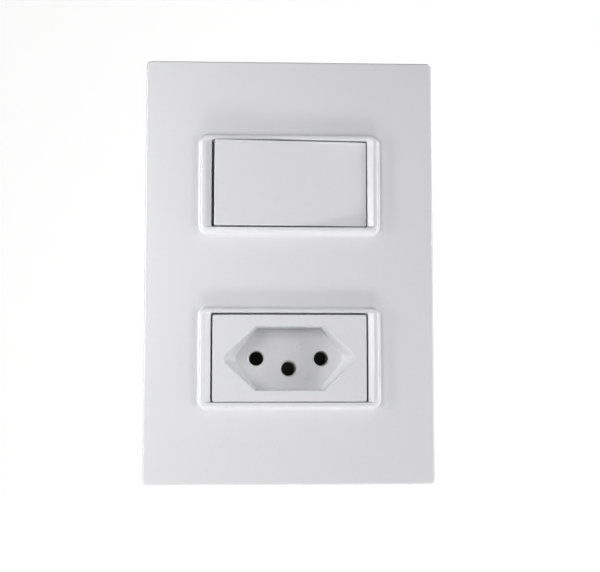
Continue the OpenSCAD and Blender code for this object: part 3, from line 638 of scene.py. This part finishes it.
class PLATE_OT_socket_marks(bpy.types.Operator):
    """Raises plain numerals and a plain earth sign on the floor of the socket's recess"""

    bl_idname = "plate.socket_marks"
    bl_label = "Socket Marks"

    def execute(self, context):
        middle_z = middle(*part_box("socket_body")).z * MM_PER_METRE
        for body, x in NUMERALS:
            numeral = add_numeral(body, x, middle_z + NUMERAL_RISE)
            bpy.ops.object.mode_set(mode="EDIT")
            raise_mark(numeral, f"pin_numeral_{body}")
        raise_mark(self.earth_sign(EARTH_MARK[0], middle_z + EARTH_MARK[1]), "earth_sign")
        return {"FINISHED"}

    @staticmethod
    def earth_sign(x, z):
        """The three bars and the stem of an earth sign, grown from one block."""
        front, back = FLOOR_Y - MARK_RISE, FLOOR_Y + MARK_ROOT
        half = MARK_LINE / 2
        sign = start_block("earth_sign", (x - half, front, z),
                           (x + half, back, z + EARTH_STEM))
        for drop, width in EARTH_BARS:
            bpy.ops.mesh.select_all(action="DESELECT")
            bpy.ops.mesh.primitive_cube_add(
                size=1, location=mm(x, (front + back) / 2, z + drop),
                scale=mm(width, back - front, MARK_LINE))
        pick("edges", lambda e: all(near(v.co.y, mm(front)) for v in e.verts)
             and e.calc_face_angle(0) > math.radians(30))
        bpy.ops.mesh.bevel(offset=mm(MARK_LINE / 4), segments=2, profile=0.5, affect="EDGES")
        return sign


# Box screws: outlines from the head to the tip as radius and level along Y
SCREW_Z = 41.75
HEAD_RADIUS = 3.1
HEAD_LEVELS = (-3.0, -2.0)
HEAD_DOME = ((3.02, -3.35), (2.75, -3.7), (2.2, -3.92), (1.3, -4.0))
NECK_RADIUS = 1.5
THREAD_START = 0.5
THREAD_END = 22.1
THREAD_PITCH = 0.6
THREAD_CREST = 1.75
THREAD_ROOT = 1.42
SCREW_TIP = ((1.35, 22.5), (1.05, 23.0))
SLOT_WIDTH = 0.875
SLOT_FLOOR = -3.0


class PLATE_OT_box_screws(bpy.types.Operator):
    """Models one threaded box screw with a slotted head, and its copy below"""

    bl_idname = "plate.box_screws"
    bl_label = "Box Screws"

    def execute(self, context):
        bpy.ops.object.select_all(action="DESELECT")
        front, back = HEAD_LEVELS
        bpy.ops.mesh.primitive_cylinder_add(
            vertices=24, radius=mm(HEAD_RADIUS), depth=mm(back - front),
            location=mm(0, (front + back) / 2, SCREW_Z), rotation=(math.radians(90), 0, 0))
        bpy.ops.object.transform_apply(location=True, rotation=True, scale=True)
        screw = context.object
        screw.name = screw.data.name = "box_screw_threaded_top"
        bpy.ops.object.mode_set(mode="EDIT")
        pick("faces", face_at(1, front))
        self.draw_out(HEAD_RADIUS, front, HEAD_DOME)
        pick("faces", face_at(1, back))
        bpy.ops.mesh.inset(thickness=mm(HEAD_RADIUS - NECK_RADIUS))
        turns = round((THREAD_END - THREAD_START) / THREAD_PITCH)
        outline = [(NECK_RADIUS, THREAD_START)]
        for turn in range(turns):
            start = THREAD_START + turn * THREAD_PITCH
            outline += [(THREAD_CREST, start + THREAD_PITCH / 2),
                        (THREAD_ROOT, start + THREAD_PITCH)]
        self.draw_out(NECK_RADIUS, back, (*outline, *SCREW_TIP))
        finish_piece(screw, "fixed", "zinc_plated_steel", angle=35)
        cutter = start_block("slot_cutter", (-HEAD_RADIUS - 1, -5, SCREW_Z - SLOT_WIDTH / 2),
                             (HEAD_RADIUS + 1, SLOT_FLOOR, SCREW_Z + SLOT_WIDTH / 2))
        bpy.ops.object.mode_set(mode="OBJECT")
        apply_modifier(screw, "BOOLEAN", "cut the slot", object=cutter, operation="DIFFERENCE",
                       solver="EXACT")
        bpy.data.objects.remove(cutter)
        lower = copy_piece(screw, shift_z=-2 * SCREW_Z)
        lower.name = lower.data.name = "box_screw_threaded_bottom"
        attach(lower, "fixed")
        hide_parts("box_screw_top")
        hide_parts("box_screw_bottom")
        return {"FINISHED"}

    @staticmethod
    def draw_out(radius, level, outline):
        """Extrudes the selected round face along Y through radii and levels."""
        for next_radius, next_level in outline:
            push(0, next_level - level, 0)
            share = next_radius / radius
            bpy.ops.transform.resize(value=(share, 1, share),
                                     center_override=middle(*selected_extent()))
            radius, level = next_radius, next_level


# Finish of each carried-over solid: material, and the width in mm of its edge rounding
CARRIED_FINISHES = {
    "support_frame": ("matt_grey_nylon", 0.2),
    "switch_housing": ("satin_polycarbonate", 0.15),
    "switch_rocker": ("gloss_white_abs", 0.2),
    "plunger": ("rolled_brass", 0.0),
    "contact_bridge": ("rolled_copper", 0.08),
    "moving_contact": ("silver_alloy", 0.08),
    "common_terminal": ("rolled_brass", 0.12),
    "load_terminal": ("rolled_brass", 0.12),
    "fixed_contact": ("silver_alloy", 0.08),
    "common_terminal_screw": ("zinc_plated_steel", 0.12),
    "load_terminal_screw": ("zinc_plated_steel", 0.12),
    "switch_back_cover": ("filled_grey_nylon", 0.2),
    "socket_body": ("gloss_white_abs", 0.16),
    "left_contact": ("nickelled_brass", 0.05),
    "right_contact": ("nickelled_brass", 0.05),
    "earth_contact": ("nickelled_brass", 0.05),
    "left_terminal": ("rolled_brass", 0.12),
    "right_terminal": ("rolled_brass", 0.12),
    "earth_terminal": ("rolled_brass", 0.12),
    "left_terminal_screw": ("zinc_plated_steel", 0.12),
    "right_terminal_screw": ("zinc_plated_steel", 0.12),
    "earth_terminal_screw": ("zinc_plated_steel", 0.12),
    "socket_back_cover": ("filled_grey_nylon", 0.2),
}


# Reach of the weld in mm, and the angles in degrees up to which faces count as one flat
# face and from which an edge is rounded
WELD_REACH = 0.002
FLAT_ANGLE = 0.5
SHARP_ANGLE = 32


class PLATE_OT_carried_solids(bpy.types.Operator):
    """Gives each carried-over solid its finish and rounds its edges"""

    bl_idname = "plate.carried_solids"
    bl_label = "Carried-over Solids"

    def execute(self, context):
        for name, (material, rounding) in CARRIED_FINISHES.items():
            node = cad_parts[name]
            node.data.materials.clear()
            node.data.materials.append(bpy.data.materials[material])
            if not rounding:
                continue
            weld = node.modifiers.new("join the loose triangles", "WELD")
            weld.merge_threshold = mm(WELD_REACH)
            flat = node.modifiers.new("merge flat faces", "DECIMATE")
            flat.decimate_type = "DISSOLVE"
            flat.angle_limit = math.radians(FLAT_ANGLE)
            edge = node.modifiers.new("round the edges", "BEVEL")
            edge.width = mm(rounding)
            edge.segments = 3
            edge.limit_method = "ANGLE"
            edge.angle_limit = math.radians(SHARP_ANGLE)
            edge.harden_normals = True
        return {"FINISHED"}


class PLATE_OT_plunger_spring(bpy.types.Operator):
    """Copies the coil spring in the rocker's stem, which in the real switch shortens as the
    plunger goes in, onto its own mesh on the rocker
    """

    bl_idname = "plate.plunger_spring"
    bl_label = "Plunger Spring"

    def execute(self, context):
        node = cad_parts["plunger_spring"]
        spring = bpy.data.objects.new("plunger_coil_spring", node.data.copy())
        spring.matrix_world = node.matrix_world.copy()
        context.collection.objects.link(spring)
        select_only(spring)
        bpy.ops.object.mode_set(mode="EDIT")
        finish_piece(spring, "rocker", "spring_wire", angle=60)
        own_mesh(spring)
        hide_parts("plunger_spring")
        return {"FINISHED"}


# Stage

# Each light: name, place, width and height in mm, and the setting that holds its power
LIGHTS = (
    ("soft key", (-150, -240, 30), (110, 110), "key_power"),
    ("raking light below", (0, -160, -450), (420, 90), "low_power"),
    ("left strip", (-300, -120, 0), (60, 320), "left_power"),
    ("right wall of light", (1400, -980, 0), (450, 900), "right_power"),
    ("right raking light", (1250, -360, 0), (300, 900), "rake_power"),
    ("back fill", (220, 520, 300), (300, 300), "back_power"),
)
# Each card that stands on both sides and that only reflections see: place on the right,
# width and height, and its share of the cards' power
CARDS = (
    ((330, -170, 0), (200, 400), 1.0),
    ((185, -350, 0), (60, 400), 0.15),
)
CAMERA_PLACE = (-9.7, -322.57, -29.35)
CAMERA_TURN = (94.512, 0.004, -2.314)
LENS_MM, SENSOR_MM = 66, 36
# Floor of the sweep: half its width, its front and back, its top and how thick it is
SWEEP_HALF, SWEEP_FRONT, SWEEP_BACK = 1200, -900, 1100
SWEEP_TOP, SWEEP_THICKNESS, SWEEP_RISE, SWEEP_BEND = -520, 2, 1600, 300
# Glow of the sweep to the camera alone, which keeps it white behind the plate
SWEEP_LIFT = 0.75


def add_soft_light(name, place, size, power):
    """A rectangular softbox that faces the plate, placed and sized in millimetres."""
    light = bpy.data.lights.new(name, "AREA")
    light.shape = "RECTANGLE"
    light.size, light.size_y = mm(size[0]), mm(size[1])
    light.energy = power
    lamp = bpy.data.objects.new(name, light)
    lamp.location = mm(*place)
    lamp.rotation_euler = (-lamp.location).to_track_quat("-Z", "Y").to_euler()
    bpy.context.collection.objects.link(lamp)
    return lamp


class PLATE_OT_stage(bpy.types.Operator):
    """Sets the pale sweep, the soft lights and the camera"""

    bl_idname = "plate.stage"
    bl_label = "Stage"

    def execute(self, context):
        scene = context.scene
        settings = scene.plate_stage
        self.add_camera(scene)
        self.add_world(scene, settings)
        self.add_sweep()
        for name, place, size, power in LIGHTS:
            add_soft_light(name, place, size, getattr(settings, power))
        for side in (-1, 1):
            for (x, y, z), size, share in CARDS:
                card = add_soft_light("edge card", (side * x, y, z), size,
                                      settings.card_power * share)
                card.visible_diffuse = False
        scene.view_settings.view_transform = "Standard"
        return {"FINISHED"}

    @staticmethod
    def add_camera(scene):
        """Camera fitted to the photograph's frame of 600 by 572 pixels."""
        lens = bpy.data.cameras.new("photo camera")
        lens.lens, lens.sensor_width = LENS_MM, SENSOR_MM
        lens.clip_start, lens.clip_end = mm(5), mm(5000)
        camera = bpy.data.objects.new("photo camera", lens)
        camera.location = mm(*CAMERA_PLACE)
        camera.rotation_euler = [math.radians(a) for a in CAMERA_TURN]
        scene.collection.objects.link(camera)
        scene.camera = camera

    @staticmethod
    def add_world(scene, settings):
        """Even room light; the camera and mirror-like surfaces see plain white."""
        world = bpy.data.worlds.new("pale studio")
        world.use_nodes = True
        tree = world.node_tree
        tree.nodes.clear()
        path = add_node(tree, "ShaderNodeLightPath")
        seen = path.outputs["Is Camera Ray"]
        for ray in ("Is Glossy Ray", "Is Transmission Ray"):
            either = add_node(tree, "ShaderNodeMath", {"operation": "MAXIMUM"})
            link(tree, seen, either, 0)
            link(tree, path.outputs[ray], either, 1)
            seen = either.outputs[0]
        strength = add_node(tree, "ShaderNodeMapRange", None, Value=seen,
                            To_Min=settings.ambient, To_Max=1.0)
        backdrop = add_node(tree, "ShaderNodeBackground", None, Color=(1, 1, 1, 1),
                            Strength=strength.outputs["Result"])
        add_node(tree, "ShaderNodeOutputWorld", Surface=backdrop.outputs[0])
        scene.world = world

    @staticmethod
    def add_sweep():
        """Pale floor that rises into a backdrop, well behind the object and below it."""
        sweep = start_block("studio_sweep",
                            (-SWEEP_HALF, SWEEP_FRONT, SWEEP_TOP - SWEEP_THICKNESS),
                            (SWEEP_HALF, SWEEP_BACK, SWEEP_TOP))

        def at_floor_back(edge):
            return all(near(v.co.y, mm(SWEEP_BACK)) and near(v.co.z, mm(SWEEP_TOP))
                       for v in edge.verts)

        pick("edges", at_floor_back)
        push(0, 0, SWEEP_RISE)
        pick("edges", at_floor_back)
        bpy.ops.mesh.bevel(offset=mm(SWEEP_BEND), segments=16, profile=0.5, affect="EDGES",
                           clamp_overlap=False)
        bpy.ops.object.mode_set(mode="OBJECT")
        bpy.ops.object.shade_smooth_by_angle(angle=math.radians(30))
        # Matt pale paint: keeps the object's shadow and shines nowhere
        tree, shader, _ = new_material("pale_sweep_paint")
        shader.inputs["Roughness"].default_value = 0.9
        shader.inputs["Base Color"].default_value = colour("#F1F1F0")
        path = add_node(tree, "ShaderNodeLightPath").outputs["Is Camera Ray"]
        lift = add_node(tree, "ShaderNodeMapRange", None, Value=path,
                        To_Min=0.0, To_Max=SWEEP_LIFT)
        shader.inputs["Emission Color"].default_value = (1, 1, 1, 1)
        link(tree, lift.outputs["Result"], shader, "Emission Strength")
        sweep.data.materials.append(bpy.data.materials["pale_sweep_paint"])


class PLATE_PT_panel(bpy.types.Panel):
    """Lists the steps that build the plate and its stage"""

    bl_idname = "PLATE_PT_panel"
    bl_label = "Switch and Socket Plate"
    bl_space_type = "VIEW_3D"
    bl_region_type = "UI"
    bl_category = "Plate"

    def draw(self, context):
        layout = self.layout
        for group, names in (
                (context.scene.plate_sizes,
                 ("corner_radius", "edge_radius", "wall", "rim_corner_radius")),
                (context.scene.plate_colours,
                 ("front_plastic", "frame_plastic", "case_plastic", "back_plastic")),
                (context.scene.plate_stage,
                 ("key_power", "low_power", "left_power", "right_power", "rake_power",
                  "back_power", "card_power", "ambient"))):
            for name in names:
                layout.prop(group, name)
        for step in STEPS:
            layout.operator(step.bl_idname)


GROUPS = {"plate_sizes": PlateSizes, "plate_colours": FinishColours,
          "plate_stage": StageSettings}
STEPS = (PLATE_OT_cover_plate, PLATE_OT_socket_marks, PLATE_OT_box_screws,
         PLATE_OT_carried_solids, PLATE_OT_plunger_spring, PLATE_OT_stage)


def register():
    """Registers the classes and puts the settings on the scene."""
    for name, group in GROUPS.items():
        bpy.utils.register_class(group)
        setattr(bpy.types.Scene, name, bpy.props.PointerProperty(type=group))
    for step in (*STEPS, PLATE_PT_panel):
        bpy.utils.register_class(step)


def unregister():
    """Takes the classes and the settings off again."""
    for step in (PLATE_PT_panel, *reversed(STEPS)):
        bpy.utils.unregister_class(step)
    for name, group in GROUPS.items():
        delattr(bpy.types.Scene, name)
        bpy.utils.unregister_class(group)


def main():
    """Builds every piece and the stage."""
    register()
    make_materials(bpy.context.scene.plate_colours)
    bpy.ops.plate.cover_plate()
    bpy.ops.plate.socket_marks()
    bpy.ops.plate.box_screws()
    bpy.ops.plate.carried_solids()
    bpy.ops.plate.plunger_spring()
    bpy.ops.plate.stage()


if __name__ == "__main__":
    main()
